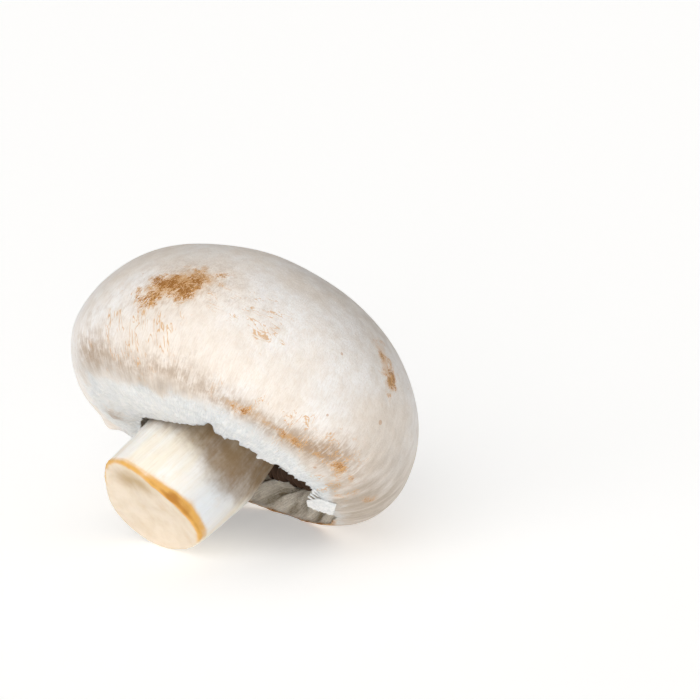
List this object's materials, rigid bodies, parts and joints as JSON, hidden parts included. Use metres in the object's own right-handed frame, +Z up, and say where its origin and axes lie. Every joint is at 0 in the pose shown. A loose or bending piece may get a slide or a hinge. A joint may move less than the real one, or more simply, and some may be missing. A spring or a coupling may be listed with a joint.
{
  "type": "button mushroom",
  "caption": "Closed-cup button mushroom lying on its side: domed white cap with a rolled lip and torn veil, brown gills inside and a short bent stem with a cut end.",
  "frame": {"origin": "on the table, under the middle of the object's outline seen from above", "axes": "+Z up from the table; +X level, the way the crown leans, from the cut end of the stem to the crown; +Y level, across the cap"},
  "size_m": [0.0484, 0.055, 0.0448],
  "materials": {
    "cap_skin": "satin",
    "gills": "matte",
    "stem": "matte"
  },
  "bodies": {
    "root": {"cap": "cap_skin", "gills": "gills", "stem": "stem"}
  },
  "joints": []
}
